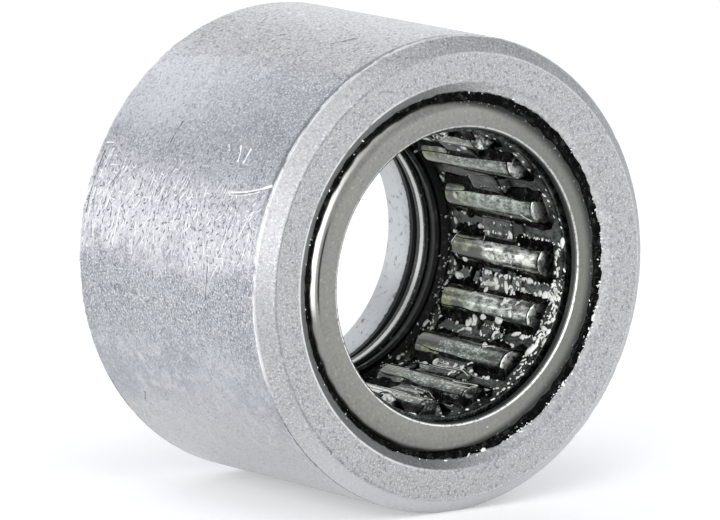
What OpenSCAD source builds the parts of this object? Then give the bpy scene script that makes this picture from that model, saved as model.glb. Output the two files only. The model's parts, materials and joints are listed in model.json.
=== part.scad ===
// Needle roller bearing in a thick steel sleeve, open at one end and sealed at the other.
// The bearing axis runs along Y, the open end faces -Y and the origin is at mid width on the axis.
// Depths are measured along the axis from the open end's face.

/* [Sleeve] */
// Outside diameter of the sleeve
sleeve_d = 27.79; // [27:0.01:34]
// Width of the sleeve along the axis
sleeve_w = 19.33; // [18.8:0.01:24]
// Chamfer at both outer edges
sleeve_chamfer = 0.91; // [0.3:0.01:1.1]
// Depth of the seat that holds the drawn cup
seat_depth = 15.25; // [14.9:0.01:15.6]
// How far the seat's entry chamfer widens the seat
entry_chamfer_w = 0.78; // [0.2:0.01:0.9]
// How deep the seat's entry chamfer goes
entry_chamfer_depth = 0.43; // [0.1:0.01:0.8]
// Chamfer where the shoulder bore meets the sealed end's face
shoulder_chamfer = 1.5; // [0.5:0.01:1.9]

/* [Shaft] */
// Diameter of the shaft that runs on the needles
shaft_d = 15; // [14.6:0.01:15.2]
// Radial room between the shaft and the sleeve's shoulder bore
shoulder_room = 0.5; // [0.3:0.01:0.8]
// Radial room between the shaft and the seal's lip
seal_room = 0.05; // [0.02:0.01:0.1]

/* [Needles] */
// Number of needles
needle_count = 16; // [8:1:18]
// Diameter of a needle
needle_d = 2; // [1.9:0.01:2.05]
// Length of a needle
needle_length = 8.5; // [7:0.01:8.7]
// Radius of the rounded edge at a needle's ends
needle_edge = 0.18; // [0.05:0.01:0.4]
// Angle of the first needle above the +X axis, in degrees
first_needle_angle = -2.3; // [-11:0.1:11]
// Radial running clearance of a needle in the raceway
running_clearance = 0.01; // [0.01:0.005:0.05]

/* [Drawn cup] */
// Wall of the cup around the raceway
cup_wall = 1; // [0.8:0.01:1.1]
// Width of the cup along the axis
cup_w = 14.55; // [14.4:0.01:14.7]
// How far the cup sits below the open face
cup_inset = 0.1; // [0:0.01:0.2]
// Thickness of the flat lip at the open end
lip_t = 0.6; // [0.4:0.01:0.7]
// Radial room between the shaft and the lip
lip_room = 1.06; // [0.5:0.01:1.2]
// Thickness of the flange at the sealed end
flange_t = 1.05; // [0.8:0.01:1.1]
// Radial room between the shaft and the flange
flange_room = 0.2; // [0.15:0.01:0.4]
// Outer bend radius of the cup's corners
cup_corner = 1; // [0.7:0.01:1.3]
// Inner bend radius of the cup's corners
cup_inner_corner = 0.35; // [0.1:0.01:0.5]
// Chamfer on the inner edges of the lip, the flange and the shoulder
small_chamfer = 0.12; // [0.05:0.01:0.15]

/* [Cage] */
// Axial gap between the lip and the cage
cage_gap = 0.2; // [0.1:0.01:0.25]
// Width of the cage along the axis
cage_w = 11.3; // [11.2:0.01:11.4]
// Width of the ring at each end of the cage
cage_ring_w = 1.1; // [0.9:0.01:1.15]
// Radial room between the shaft and the cage's end rings
cage_ring_room = 0.8; // [0.7:0.01:0.9]
// Radial gap between the cage and the raceway
cage_outer_gap = 0.2; // [0.1:0.01:0.3]
// Length of the waist where the bars dip towards the shaft
waist_length = 2.7; // [2:0.01:3.2]
// Length of the slope at each end of the waist
waist_slope = 0.6; // [0.4:0.01:0.8]
// Radial room between the shaft and the waist
waist_room = 0.3; // [0.2:0.01:0.4]
// Radial thickness of the bars at the waist
waist_t = 0.8; // [0.6:0.01:0.9]
// Gap around a needle in its pocket
pocket_gap = 0.05; // [0.03:0.01:0.1]
// Half width of the pocket at the waist, less than a needle's radius so that needles can't drop out
pocket_mouth = 0.87; // [0.8:0.01:0.92]
// Half width of the pocket on either side of the waist
pocket_half_w = 1.15; // [1.1:0.01:1.2]
// Axial gap between the open end's ring and the needles
needle_front_gap = 0.4; // [0.1:0.01:0.4]

/* [Seal] */
// Axial width of the seal
seal_w = 1.2; // [1.1:0.01:1.25]
// Depth of the groove behind the seal's lip
seal_groove = 0.5; // [0.2:0.01:0.6]

/* [Hidden] */
$fn = 128;
cut = 1;
shaft_r = shaft_d / 2;
needle_r = needle_d / 2;
raceway_r = shaft_r + needle_d;
pitch_r = raceway_r - needle_r - running_clearance;
seat_r = raceway_r + cup_wall;
sleeve_r = sleeve_d / 2;
shoulder_r = shaft_r + shoulder_room;
lip_r = shaft_r + lip_room;
flange_r = shaft_r + flange_room;
seal_r = shaft_r + seal_room;
cage_in_r = shaft_r + cage_ring_room;
cage_out_r = raceway_r - cage_outer_gap;
waist_in_r = shaft_r + waist_room;
waist_out_r = waist_in_r + waist_t;
cup_back = cup_inset + cup_w;
cavity_front = cup_inset + lip_t;
cavity_back = cup_back - flange_t;
cage_front = cavity_front + cage_gap;
cage_back = cage_front + cage_w;
cage_middle = (cage_front + cage_back) / 2;
pocket_front = cage_front + cage_ring_w;
pocket_back = cage_back - cage_ring_w;
waist_front = cage_middle - waist_length / 2;
waist_back = cage_middle + waist_length / 2;
seal_front = cavity_back - seal_w;
FIXED_NODES = ["outer_sleeve", "drawn_cup", "shaft_seal", "cage"];

function needle_name(i) = str("needle_roller_", i < 10 ? "0" : "", i);
function needle_angle(i) = first_needle_angle + (i - 1) * 360 / needle_count;

// Turns a half section, drawn as [radius, depth], round the bearing's axis.
module turned() {
    rotate([-90, 0, 0]) translate([0, 0, -sleeve_w / 2]) rotate_extrude() children();
}

// Puts a shape drawn along +Z, with the needle's own axis at its middle, at needle i's place.
module at_needle(i) {
    rotate([-90, 0, 0]) rotate([0, 0, -needle_angle(i)]) translate([pitch_r, 0, -sleeve_w / 2])
        children();
}

// A section from radius r0 to r1 and depth z0 to z1, with both corners at r1 rounded.
module rounded_section(r0, r1, z0, z1, corner) {
    translate([r0, z0]) square([r1 - corner - r0, z1 - z0]);
    translate([r0, z0 + corner]) square([r1 - r0, z1 - z0 - 2 * corner]);
    for (z = [z0 + corner, z1 - corner]) translate([r1 - corner, z]) circle(r = corner);
}

// Turned steel bush with a seat for the cup and a shoulder at the sealed end.
module outer_sleeve() {
    color([0.72, 0.72, 0.75]) turned() polygon([
        [seat_r, entry_chamfer_depth],
        [seat_r + entry_chamfer_w, 0],
        [sleeve_r - sleeve_chamfer, 0],
        [sleeve_r, sleeve_chamfer],
        [sleeve_r, sleeve_w - sleeve_chamfer],
        [sleeve_r - sleeve_chamfer, sleeve_w],
        [shoulder_r + shoulder_chamfer, sleeve_w],
        [shoulder_r, sleeve_w - shoulder_chamfer],
        [shoulder_r, seat_depth + small_chamfer],
        [shoulder_r + small_chamfer, seat_depth],
        [seat_r, seat_depth]
    ]);
}

// Area removed along the bore of a lip or flange: the hole and a small chamfer on both edges.
module bore_section(r, z0, z1) {
    polygon([
        [0, z0 - cut],
        [r + small_chamfer + cut, z0 - cut],
        [r, z0 + small_chamfer],
        [r, z1 - small_chamfer],
        [r + small_chamfer + cut, z1 + cut],
        [0, z1 + cut]
    ]);
}

// Thin drawn shell: the raceway, a flat lip at the open end and a flange at the sealed end.
module drawn_cup() {
    color([0.62, 0.61, 0.58]) turned() difference() {
        rounded_section(seal_r, seat_r, cup_inset, cup_back, cup_corner);
        rounded_section(0, raceway_r, cavity_front, cavity_back, cup_inner_corner);
        bore_section(lip_r, cup_inset, cavity_front);
        bore_section(flange_r, cavity_back, cup_back);
    }
}

// Rubber ring held by the flange, with a lip that points at the needles and meets the shaft.
module shaft_seal() {
    lip_t_r = 0.2;
    heel_r = flange_r + 0.25;
    web_r = (raceway_r + heel_r) / 2;
    color([0.07, 0.07, 0.07]) turned() polygon([
        [raceway_r, seal_front],
        [web_r, seal_front],
        [web_r - seal_groove, seal_front + seal_groove],
        [seal_r + lip_t_r, seal_front],
        [seal_r, seal_front + lip_t_r / 2],
        [seal_r, seal_front + lip_t_r],
        [heel_r, cavity_back],
        [raceway_r, cavity_back]
    ]);
}

// Half section of the cage: two end rings joined by bars that dip to a waist in the middle.
module cage_section() {
    polygon([
        [cage_in_r, cage_front],
        [cage_in_r, waist_front - waist_slope],
        [waist_in_r, waist_front],
        [waist_in_r, waist_back],
        [cage_in_r, waist_back + waist_slope],
        [cage_in_r, cage_back],
        [cage_out_r, cage_back],
        [cage_out_r, waist_back + waist_slope],
        [waist_out_r, waist_back],
        [waist_out_r, waist_front],
        [cage_out_r, waist_front - waist_slope],
        [cage_out_r, cage_front]
    ]);
}

// A straight-sided slot through the cage wall, from depth z0 to z1.
module pocket_slot(half_w, z0, z1) {
    translate([waist_in_r - cut - pitch_r, -half_w, z0])
        cube([cage_out_r - waist_in_r + 2 * cut, 2 * half_w, z1 - z0]);
}

// Everything taken out of the cage for one needle.
module pocket() {
    translate([0, 0, pocket_front])
        cylinder(r = needle_r + pocket_gap, h = pocket_back - pocket_front);
    pocket_slot(pocket_mouth, pocket_front, pocket_back);
    pocket_slot(pocket_half_w, pocket_front, waist_front - waist_slope / 2);
    pocket_slot(pocket_half_w, waist_back + waist_slope / 2, pocket_back);
}

module cage() {
    color([0.36, 0.38, 0.36]) difference() {
        turned() cage_section();
        for (i = [1:needle_count]) at_needle(i) pocket();
    }
}

// One needle, as a rod with rounded end edges.
module needle_roller(i) {
    color([0.78, 0.78, 0.76]) at_needle(i) translate([0, 0, pocket_front + needle_front_gap])
        rotate_extrude() rounded_section(0, needle_r, 0, needle_length, needle_edge);
}

outer_sleeve();
drawn_cup();
shaft_seal();
cage();
for (i = [1:needle_count]) needle_roller(i);
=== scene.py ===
import json
import math

import bmesh
import bpy
import numpy as np
from mathutils import Matrix, Vector


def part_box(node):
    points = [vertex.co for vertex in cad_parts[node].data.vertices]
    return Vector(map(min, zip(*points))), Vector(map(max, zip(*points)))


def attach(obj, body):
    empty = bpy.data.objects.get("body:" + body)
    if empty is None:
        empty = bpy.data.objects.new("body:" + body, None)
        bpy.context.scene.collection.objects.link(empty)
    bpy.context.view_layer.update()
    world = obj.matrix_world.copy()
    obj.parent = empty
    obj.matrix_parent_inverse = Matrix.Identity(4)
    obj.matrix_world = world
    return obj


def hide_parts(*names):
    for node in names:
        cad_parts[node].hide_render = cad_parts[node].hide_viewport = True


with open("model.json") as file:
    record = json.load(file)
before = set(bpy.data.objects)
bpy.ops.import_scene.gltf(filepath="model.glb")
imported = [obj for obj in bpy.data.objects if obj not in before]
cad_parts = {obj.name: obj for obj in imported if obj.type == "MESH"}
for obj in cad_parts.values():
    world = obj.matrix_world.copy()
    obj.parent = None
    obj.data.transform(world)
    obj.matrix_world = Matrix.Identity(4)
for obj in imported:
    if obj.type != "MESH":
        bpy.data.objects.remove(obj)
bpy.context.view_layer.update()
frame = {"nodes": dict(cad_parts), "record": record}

# ---- Sizes ----
# Lengths are in metres. Depths run along +Y from the sleeve's open face.

MM = 0.001
UP = Vector((0, 0, 1))
OUTWARDS = Vector((0, -1, 0))  # out of the open end
MOUNTS = {entry["name"]: entry for entry in frame["record"]["mounts"]}


def mount(name, key):
    """A mount's radius (r_mm) or length (length_mm)."""
    return MOUNTS[name]["dims"][key] * MM


SLEEVE_LOW, SLEEVE_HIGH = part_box("outer_sleeve")
CUP_LOW, CUP_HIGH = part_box("drawn_cup")
SEAL_LOW, SEAL_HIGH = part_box("shaft_seal")
CAGE_LOW, CAGE_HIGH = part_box("cage")

OPEN_FACE = SLEEVE_LOW.y
SEALED_FACE = SLEEVE_HIGH.y
SLEEVE_R = SLEEVE_HIGH.x
SLEEVE_CHAMFER = (SEALED_FACE - OPEN_FACE - mount("outside_diameter", "length_mm")) / 2
SHOULDER_R = mount("shoulder_bore", "r_mm")
CUP_R = CUP_HIGH.x
RACEWAY_R = SEAL_HIGH.x
CAGE_R = CAGE_HIGH.x
RUNNING_CLEARANCE = 0.01 * MM
SHAFT_R = mount("needle_track", "r_mm") + RUNNING_CLEARANCE

SEAT_DEPTH = 15.25 * MM
ENTRY_CHAMFER_W = 0.78 * MM
ENTRY_CHAMFER_DEPTH = 0.43 * MM
SHOULDER_CHAMFER = 1.5 * MM
SMALL_CHAMFER = 0.12 * MM
LIP_R = SHAFT_R + 1.06 * MM
LIP_T = 0.6 * MM
FLANGE_R = SHAFT_R + 0.2 * MM
CUP_CORNER = 1.0 * MM
CUP_INNER_CORNER = 0.35 * MM
SEAL_R = SHAFT_R + 0.05 * MM
SEAL_LIP_T = 0.2 * MM
SEAL_GROOVE = 0.5 * MM
RING_R = SHAFT_R + 0.8 * MM
RING_W = 1.1 * MM
WAIST_R = SHAFT_R + 0.3 * MM
WAIST_T = 0.8 * MM
WAIST_LENGTH = 2.7 * MM
WAIST_SLOPE = 0.6 * MM
POCKET_GAP = 0.05 * MM
POCKET_MOUTH = 0.87 * MM
POCKET_HALF_W = 1.15 * MM
NEEDLE_EDGE = 0.18 * MM

NEEDLES = sorted(name for name in frame["nodes"] if name.startswith("needle_roller_"))
NEEDLE_BOXES = [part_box(name) for name in NEEDLES]
NEEDLE_R = (NEEDLE_BOXES[0][1].x - NEEDLE_BOXES[0][0].x) / 2
NEEDLE_CENTRES = [(low + high) / 2 for low, high in NEEDLE_BOXES]
NEEDLE_ANGLES = [math.atan2(centre.z, centre.x) for centre in NEEDLE_CENTRES]
PITCH_R = math.hypot(NEEDLE_CENTRES[0].x, NEEDLE_CENTRES[0].z)
SECTOR = 2 * math.pi / len(NEEDLES)
CAGE_MIDDLE = (CAGE_LOW.y + CAGE_HIGH.y) / 2
POCKET_FRONT = CAGE_LOW.y + RING_W
POCKET_BACK = CAGE_HIGH.y - RING_W
HEAVY_ANGLE = math.radians(-22)  # where the bore holds most grease


# ---- Shader building ----


class Value:
    """A number that a material's nodes work out; arithmetic on it adds nodes."""

    def __init__(self, shader, socket):
        self.shader = shader
        self.socket = socket

    def __mul__(self, other):
        return self.shader.math("MULTIPLY", self, other)

    def __truediv__(self, other):
        return self.shader.math("DIVIDE", self, other)

    def __add__(self, other):
        return self.shader.math("ADD", self, other)

    def __sub__(self, other):
        return self.shader.math("SUBTRACT", self, other)

    def __rsub__(self, other):
        return self.shader.math("SUBTRACT", other, self)

    def __abs__(self):
        return self.shader.math("ABSOLUTE", self)

    def steps(self, low, high):
        """0 below low, 1 above high and smooth between; low may be the larger one."""
        inputs = {"Value": self, "From Min": low, "From Max": high}
        return self.shader.value("MapRange", inputs, interpolation_type="SMOOTHSTEP")

    def near(self, middle, outer, inner):
        """1 within inner of middle, 0 beyond outer and smooth between."""
        return abs(self - middle).steps(outer, inner)

    def between(self, low, high):
        """Stretches a 0 to 1 value over low to high."""
        return self.shader.value("MapRange", {"Value": self, "To Min": low, "To Max": high})


class Shader:
    """A material's node tree, with one short call for each kind of node it needs.

    own and place are the object's own coordinates in metres and in millimetres.
    """

    def __init__(self, name):
        self.material = bpy.data.materials.new(name)
        self.material.use_nodes = True
        self.tree = self.material.node_tree
        self.tree.nodes.clear()
        self.tone = None
        self.own = self.add("TexCoord", {}).outputs["Object"]
        self.place = self.stretch(self.own, 1000, 1000, 1000)

    def add(self, kind, inputs, **settings):
        node = self.tree.nodes.new("ShaderNode" + kind)
        for key, value in settings.items():
            setattr(node, key, value)
        for key, value in inputs.items():
            value = value.socket if isinstance(value, Value) else value
            if isinstance(value, bpy.types.NodeSocket):
                self.tree.links.new(value, node.inputs[key])
            else:
                node.inputs[key].default_value = value
        return node

    def value(self, kind, inputs, output=0, **settings):
        """Adds a node and returns one of its outputs as a Value."""
        return Value(self, self.add(kind, inputs, **settings).outputs[output])

    def math(self, operation, a, b=0.0):
        return self.value("Math", {0: a, 1: b}, operation=operation)

    def most(self, first, *others):
        """The largest of the values."""
        for other in others:
            first = self.math("MAXIMUM", first, other)
        return first

    def vector(self, operation, a, b):
        return self.add("VectorMath", {0: a, 1: b}, operation=operation).outputs[0]

    def stretch(self, place, x, y, z=1.0):
        return self.vector("MULTIPLY", place, (x, y, z))

    def split(self, vector):
        return [Value(self, socket) for socket in self.add("SeparateXYZ", {0: vector}).outputs]

    def join(self, x, y, z=0.0):
        return self.add("CombineXYZ", {0: x, 1: y, 2: z}).outputs[0]

    def radius(self, x, z):
        return self.value("VectorMath", {0: self.join(x, 0.0, z)}, "Value", operation="LENGTH")

    def mix(self, share, a, b):
        colours = {6: a, 7: b}
        for key, colour in colours.items():
            colours[key] = (*colour, 1) if isinstance(colour, tuple) else colour
        return self.add("Mix", {0: share, **colours}, data_type="RGBA").outputs[2]

    def paint(self, share, colour):
        """Lays a colour over the material's tone where share is above 0."""
        self.tone = self.mix(share, self.tone, colour)

    def noise(self, scale, detail=3.0, roughness=0.6, place=None):
        inputs = {"Vector": place or self.place, "Scale": scale}
        inputs.update({"Detail": detail, "Roughness": roughness})
        return self.value("TexNoise", inputs)

    def bump(self, height, distance):
        return self.add("Bump", {"Height": height, "Distance": distance}).outputs[0]

    def unrolled(self):
        """Millimetres round the turned surface and along its outline."""
        return self.add("UVMap", {}, uv_map="unrolled").outputs[0]

    def scratches(self, place, cell, width, angle, spread, presence, seed):
        """One slightly bowed line in each cell of a random pattern, from 0 to 1 bright.

        cell and width are millimetres, angle and spread radians; presence is the share of
        cells that hold a line.
        """
        moved = self.vector("ADD", place, (seed * 13.7, seed * 7.9, 0))
        inputs = {"Vector": moved, "Scale": 1 / cell}
        cells = self.add("TexVoronoi", inputs, voronoi_dimensions="2D")
        local = self.vector("SUBTRACT", moved, cells.outputs["Position"])
        turn, hold, bend = self.split(cells.outputs["Color"])
        inputs = {"Vector": local, "Angle": turn.between(angle - spread / 2, angle + spread / 2)}
        rotated = self.add("VectorRotate", inputs, rotation_type="Z_AXIS").outputs[0]
        along, across, _ = self.split(rotated)
        bow = along * along * (0.3 / cell) * bend
        line = abs(across - bow).steps(width, width * 0.2)
        ends = abs(along).steps(cell * 0.45, cell * 0.15)
        return line * ends * hold.steps(presence, presence * 0.4)

    def pits(self, cell, radius, presence, seed):
        """Round spots, one in some of the cells of a random pattern; sizes in millimetres."""
        moved = self.vector("ADD", self.place, (seed * 5.3, seed * 3.1, seed * 9.7))
        cells = self.add("TexVoronoi", {"Vector": moved, "Scale": 1 / cell})
        hold, size, _ = self.split(cells.outputs["Color"])
        edge = Value(self, cells.outputs["Distance"]) * cell - size.between(radius * 0.4, radius)
        return edge.steps(0.02, -0.02) * self.math("LESS_THAN", hold, presence)

    def finish(self, **inputs):
        """Ends the tree with a Principled surface of the material's tone.

        Underscores stand for spaces in its inputs.
        """
        named = {key.replace("_", " "): value for key, value in inputs.items()}
        surface = self.add("BsdfPrincipled", {"Base Color": self.tone, **named})
        self.add("OutputMaterial", {"Surface": surface.outputs[0]})
        return self.material


# ---- Materials ----


def sleeve_outside_material():
    """Satin steel of the outside diameter, with handling scratches."""
    s = Shader("sleeve_outside_steel")
    flat = s.unrolled()
    x, y, z = s.split(s.place)
    chart = s.join(s.split(flat)[0], y)
    fine = s.noise(4.0, 3.0, 0.65)
    speck = s.noise(8.0, 2.0, 0.7)
    cloud = s.noise(0.16, 2.0, 0.5)
    mottle = s.noise(1.1)
    turning = s.noise(1.0, 2.0, 0.5, place=s.stretch(flat, 0.12, 9.0))
    # The worn zone is a ragged band above mid height on the -X side, over a band of painted shade.
    ragged = mottle * 2.6 + s.noise(0.33, 2.0, 0.5) * 5.0 + z - 3.8
    left = x.steps(-9.0, -12.0)
    worn = ragged.steps(7.2, 5.2) * ragged.steps(0.0, 2.4) * left
    painted_shade_band = ragged.steps(1.6, 0.0) * ragged.steps(-4.2, -1.8) * left
    patch = s.noise(0.13, 1.0, 0.5).steps(0.62, 0.74)
    scuffed = s.most(worn, patch * 0.5)
    busy = s.most(
        s.scratches(chart, 2.2, 0.07, -0.25, 0.7, 0.9, 1),
        s.scratches(chart, 1.0, 0.07, -0.3, 1.3, 0.9, 2),
        s.scratches(chart, 0.5, 0.065, 0.4, 2.6, 0.95, 3),
        s.scratches(chart, 4.5, 0.075, -0.25, 0.3, 0.95, 12) * y.steps(1.0, 4.0),
    )
    hair = s.scratches(chart, 3.2, 0.035, 0.8, 3.0, 0.6, 4)
    dark_pits = s.pits(0.9, 0.09, 0.35, 6)
    lines = s.most(busy * scuffed, hair * 0.4)
    s.tone = s.mix(cloud.steps(0.35, 0.65), (0.35, 0.365, 0.395), (0.46, 0.47, 0.495))
    s.paint(mottle.steps(0.45, 0.7), (0.54, 0.545, 0.56))
    # Painted shade darkens the band below the worn zone.
    s.paint(painted_shade_band * 0.5, (0.29, 0.3, 0.32))
    # Painted reflection of the pale floor lightens the lowest part.
    s.paint(z.steps(-6.0, -12.5), (0.58, 0.58, 0.585))
    # A painted sheen above the worn zone runs from dark at the open end to light at the other.
    band = z.steps(6.5, 9.0) * z.steps(13.0, 11.0)
    painted_sheen = s.mix(y.steps(-6.0, 7.0), (0.26, 0.27, 0.29), (0.95, 0.95, 0.97))
    s.paint(band * 0.4, painted_sheen)
    # Painted warm light tints the very top.
    s.paint(z.steps(11.3, 13.4) * 0.6, (0.53, 0.505, 0.48))
    # The grain is fainter near the floor.
    grain = z.steps(-7.0, -1.0).between(0.35, 0.9)
    s.paint(speck.steps(0.46, 0.68) * grain, (0.78, 0.78, 0.8))
    dark_grain = fine.steps(0.5, 0.32) * grain * band.between(0.8, 0.45)
    s.paint(dark_grain, (0.17, 0.18, 0.2))
    brushed = s.noise(1.0, 3.0, 0.65, place=s.stretch(chart, 1.2, 5.0))
    rub = worn * brushed.steps(0.36, 0.6) * y.steps(-4.0, 6.0).between(0.65, 0.95)
    s.paint(rub, (0.72, 0.7, 0.735))
    dark_lines = scuffed * s.most(
        s.scratches(chart, 0.42, 0.06, -0.2, 2.4, 0.9, 9),
        s.scratches(chart, 1.7, 0.05, -0.3, 1.0, 0.45, 10),
    )
    s.paint(dark_lines * 0.9, (0.12, 0.12, 0.15))
    s.paint(lines * 0.9, (1.0, 0.99, 1.0))
    s.paint(dark_pits * 0.5, (0.16, 0.17, 0.19))
    # The ridges beside the chamfers carry a bright line, part rubbed wear and part painted
    # highlight, with painted shade along the open end's ridge at the top; they are dark near the
    # floor.
    frayed = (SEALED_FACE - SLEEVE_CHAMFER) / MM - abs(y) + (fine - 0.5) * 0.3
    shade = frayed.steps(0.5, 0.25) * z.steps(3.0, 6.5) * y.steps(0.0, -6.0)
    s.paint(shade * 0.6, (0.12, 0.125, 0.135))
    ridge = frayed.steps(0.16, 0.02) * mottle.steps(0.35, 0.55)
    s.paint(ridge * z.steps(-6.5, -3.5), (0.95, 0.95, 0.97))
    low = frayed.steps(0.16, 0.06) * z.steps(-6.0, -8.0)
    s.paint(low * 0.85, (0.06, 0.06, 0.07))
    height = fine * 0.7 + turning * 0.3 + speck * 0.35 - lines * 0.9 - dark_lines * 0.9 - dark_pits
    return s.finish(
        Metallic=1.0,
        Roughness=cloud.between(0.38, 0.5) - lines * 0.1,
        Normal=s.bump(height, 0.022 * MM),
    )


def sleeve_face_material():
    """Finely blasted steel of the end faces, chamfers and bore."""
    s = Shader("sleeve_face_steel")
    flat = s.unrolled()
    x, y, z = s.split(s.place)
    radius = s.radius(x, z)
    fine = s.noise(5.0, 3.0, 0.65)
    speck = s.noise(9.0, 2.0, 0.7)
    cloud = s.noise(0.3, 2.0, 0.5)
    blotch = s.noise(2.4, 3.0, 0.65)
    rings = s.noise(1.0, 2.0, 0.5, place=s.stretch(flat, 0.05, 7.0))
    hair = s.scratches(flat, 2.2, 0.03, 1.0, 3.1, 0.4, 5)
    dark_pits = s.pits(0.9, 0.09, 0.3, 8)
    s.tone = s.mix(cloud, (0.4, 0.4, 0.4), (0.46, 0.46, 0.46))
    s.paint(speck.steps(0.48, 0.7), (0.74, 0.74, 0.75))
    s.paint(fine.steps(0.5, 0.3) * 0.75, (0.22, 0.22, 0.225))
    s.paint(hair * 0.25, (0.8, 0.8, 0.82))
    s.paint(dark_pits * 0.45, (0.18, 0.18, 0.19))
    in_bore = radius.steps(SHOULDER_R / MM + 0.3, SHOULDER_R / MM + 0.1)
    s.paint(in_bore * 0.6, (0.36, 0.37, 0.375))
    s.paint(in_bore * y.steps(5.2, 7.0) * blotch.steps(0.25, 0.5), (0.58, 0.59, 0.6))
    s.paint(in_bore * blotch.steps(0.4, 0.3) * 0.6, (0.14, 0.15, 0.15))
    seat = (OPEN_FACE + SEAT_DEPTH) / MM
    # Grease and painted shade blacken the shoulder's bore just behind the cup's flange.
    grime = in_bore * (y + blotch * 0.25).steps(seat + 0.62, seat + 0.5)
    s.paint(grime, (0.01, 0.01, 0.01))
    # On the -X side a painted highlight lines the seat's entry and painted shade darkens the
    # entry's chamfer; pale blotches of painted light lie on the chamfer's +X side.
    entry = (CUP_R + ENTRY_CHAMFER_W) / MM
    chipped = s.noise(1.6).steps(0.3, 0.5)
    rim = radius.near(entry + 0.02, 0.09, 0.03) * chipped * x.steps(0.0, -6.0)
    on_face = radius.steps(9.6, 9.8)
    entry_shade = radius.steps(entry, entry - 0.08) * on_face * x.steps(4.0, -3.0)
    s.paint(entry_shade * 0.75, (0.13, 0.13, 0.125))
    chamfer = radius.steps(entry - 0.1, entry - 0.5) * x.steps(0.0, 6.0) * on_face
    s.paint(chamfer * blotch.steps(0.35, 0.6) * 0.5, (0.7, 0.7, 0.69))
    s.paint(rim * 0.8, (0.8, 0.8, 0.8))
    # A bright line near the outer ridge, away from the floor, is part chipped wear and part painted
    # highlight.
    ridge = radius.steps(SLEEVE_R / MM - 0.12, SLEEVE_R / MM - 0.05) * chipped * z.steps(-6.5, -3.5)
    s.paint(ridge * 0.8, (0.85, 0.85, 0.86))
    on_chamfer = radius.steps(13.0, 13.2)
    # Painted reflection of the pale floor lightens the outer chamfer near the floor.
    s.paint(on_chamfer * z.steps(-5.0, -12.0) * 0.8, (0.6, 0.6, 0.61))
    # Painted shade darkens the outer chamfer on the -X side, from about mid height up.
    left = on_chamfer * x.steps(-3.0, -9.0) * z.steps(-5.5, -1.0)
    s.paint(left * 0.45, (0.33, 0.32, 0.35))
    # Painted shade darkens the edge between the face and the outer chamfer on the -X side, and a
    # painted highlight lightens it on the +X side.
    seam = radius.near((SLEEVE_R - SLEEVE_CHAMFER) / MM, 0.1, 0.03) * chipped
    s.paint(seam * x.steps(-4.0, -8.0) * 0.4, (0.14, 0.14, 0.15))
    s.paint(seam * x.steps(-4.0, 4.0) * 0.4, (0.8, 0.8, 0.82))
    height = fine * 0.7 + rings * 0.25 + speck * 0.4 - dark_pits * 0.8
    return s.finish(
        Metallic=1.0 - grime * 0.7,
        Roughness=cloud.between(0.42, 0.52),
        Normal=s.bump(height, 0.018 * MM),
    )


def cup_material():
    """Warm grey drawn steel, stained with dark grease and painted shade in the groove and round the
    flange.
    """
    s = Shader("drawn_cup_steel")
    flat = s.unrolled()
    x, y, z = s.split(s.place)
    radius = s.radius(x, z)
    fine = s.noise(5.0)
    cloud = s.noise(0.5)
    rings = s.noise(1.0, 2.0, 0.5, place=s.stretch(flat, 0.08, 12.0))
    specks = s.noise(4.0, 2.0, 0.7).steps(0.62, 0.7)
    # Grease and painted shade darken the corner towards the groove, from further in on the +X side.
    reach = x.steps(-6.0, 7.0)
    rise = radius + reach + fine * 0.12 - reach.between(10.42, 10.17)
    corner = (rise / (reach * 0.5 + 0.15)).steps(0.0, 1.0)
    # Only the middle of the flange's bore is light; grease and painted shade blacken its sides.
    ragged_depth = y + (fine - 0.5) * 0.12
    back = CUP_HIGH.y / MM
    beyond = y.steps(2.8, 3.0)
    sides = s.most(ragged_depth.steps(back - 0.72, back - 0.82), ragged_depth.steps(back - 0.46, back - 0.38))
    grease_and_shade = s.most(corner, sides * beyond)
    s.tone = s.mix(cloud, (0.25, 0.247, 0.228), (0.3, 0.297, 0.275))
    s.paint(fine.steps(0.55, 0.8), (0.4, 0.395, 0.37))
    s.paint(fine.steps(0.48, 0.28) * 0.7, (0.2, 0.2, 0.18))
    # Painted shade darkens the +X side.
    s.paint(x.steps(0.0, 8.5) * 0.45, (0.12, 0.13, 0.115))
    # A painted highlight on the corner lies beside a painted dark line, on the -X side above mid
    # height.
    side = x.steps(-5.0, -8.0) * z.steps(-2.0, 0.0)
    corner_highlight = radius.near(10.16, 0.15, 0.04) * side * z.steps(8.6, 3.0)
    s.paint(corner_highlight, (1.0, 1.0, 0.98))
    corner_shade_line = radius.near(9.88, 0.07, 0.03) * side * z.steps(4.5, 3.0)
    s.paint(corner_shade_line * 0.9, (0.03, 0.03, 0.03))
    s.paint(beyond, (0.55, 0.55, 0.53))
    lip, short_of = LIP_R / MM, y.steps(3.0, 2.8)
    # Painted shade darkens the lip's bore.
    s.paint(radius.steps(lip + 0.09, lip + 0.07) * short_of * 0.85, (0.1, 0.105, 0.1))
    # A painted highlight runs along the lip's bore edge, brightest at the bottom.
    rim = radius.steps(lip + 0.2, lip + 0.14) * radius.steps(lip + 0.06, lip + 0.08)
    rim = rim * fine.steps(0.3, 0.5) * short_of
    s.paint(rim, s.mix(z.steps(3.0, -5.0), (0.6, 0.6, 0.58), (1.0, 1.0, 0.97)))
    s.paint(grease_and_shade, (0.01, 0.011, 0.009))
    s.paint(specks * grease_and_shade * 0.5, (0.5, 0.5, 0.47))
    height = fine * 0.6 + rings * 0.5 + specks * grease_and_shade.between(0.1, 0.8)
    return s.finish(
        Metallic=1.0 - grease_and_shade * 0.8,
        Roughness=cloud.between(0.34, 0.46) - grease_and_shade * 0.05,
        Normal=s.bump(height, 0.01 * MM),
    )


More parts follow.
